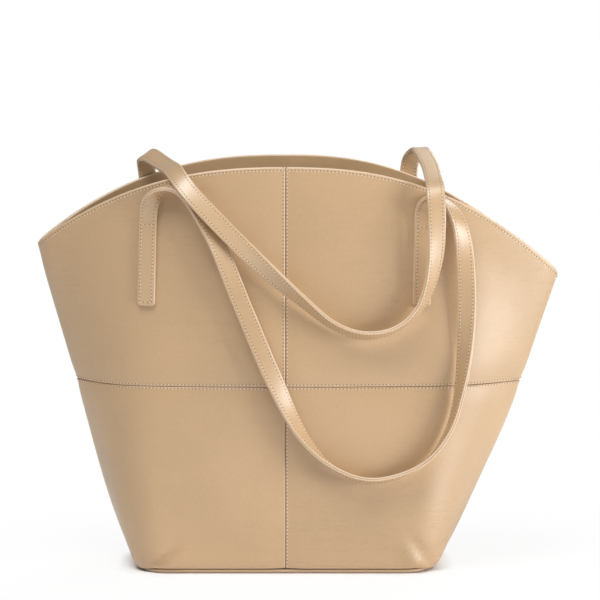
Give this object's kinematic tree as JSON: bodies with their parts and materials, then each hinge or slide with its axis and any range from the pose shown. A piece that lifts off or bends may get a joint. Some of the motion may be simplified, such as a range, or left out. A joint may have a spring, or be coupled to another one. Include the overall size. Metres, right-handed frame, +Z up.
{
  "type": "tote bag",
  "caption": "Open-top leather tote bag with an arched mouth, flared seamed panels, a boxed base and long stitched strap handles draped over the front.",
  "frame": {"origin": "on the floor under the centre of the base", "axes": "+Z up, -Y out of the front, +X along the bag's length to the right as seen from the front"},
  "size_m": [0.471, 0.1391, 0.3773],
  "materials": {
    "panel_leather": "smooth, semi-gloss",
    "strap_leather": "smooth, semi-gloss",
    "strap_backing": "smooth, satin",
    "lining_fabric": "woven, matt",
    "fibreboard": "pressed fibre, matt"
  },
  "bodies": {
    "bag": {"front_lower_left_panel": "panel_leather", "front_upper_left_panel": "panel_leather", "front_lower_right_panel": "panel_leather", "front_upper_right_panel": "panel_leather", "back_lower_left_panel": "panel_leather", "back_upper_left_panel": "panel_leather", "back_lower_right_panel": "panel_leather", "back_upper_right_panel": "panel_leather", "front_rim_facing": "panel_leather", "back_rim_facing": "panel_leather", "front_lining": "lining_fabric", "back_lining": "lining_fabric", "base_panel": "panel_leather", "base_board": "fibreboard", "base_lining": "lining_fabric", "front_handle_left_end_face": "strap_leather", "front_handle_left_end_backing": "strap_backing", "front_handle_right_end_face": "strap_leather", "front_handle_right_end_backing": "strap_backing", "back_handle_left_end_face": "strap_leather", "back_handle_left_end_backing": "strap_backing", "back_handle_right_end_face": "strap_leather", "back_handle_right_end_backing": "strap_backing", "front_left_patch": "lining_fabric", "front_right_patch": "lining_fabric", "back_left_patch": "lining_fabric", "back_right_patch": "lining_fabric"},
    "front_handle": {"front_handle_loop_face": "strap_leather", "front_handle_loop_backing": "strap_backing"},
    "back_handle": {"back_handle_loop_face": "strap_leather", "back_handle_loop_backing": "strap_backing"}
  },
  "joints": [
    {"name": "back_handle_lift", "type": "hinge", "parent": "bag", "child": "back_handle", "pos_m": [0, 0.0338, 0.3775], "axis": [-1, 0, 0], "range_deg": [0, 150]},
    {"name": "front_handle_lift", "type": "hinge", "parent": "bag", "child": "front_handle", "pos_m": [0, -0.055, 0.3425], "axis": [-1, 0, 0], "range_deg": [0, 150]}
  ],
  "couplings": [
    {"joint": "front_handle_lift", "follows": "back_handle_lift", "ratio": 1}
  ]
}
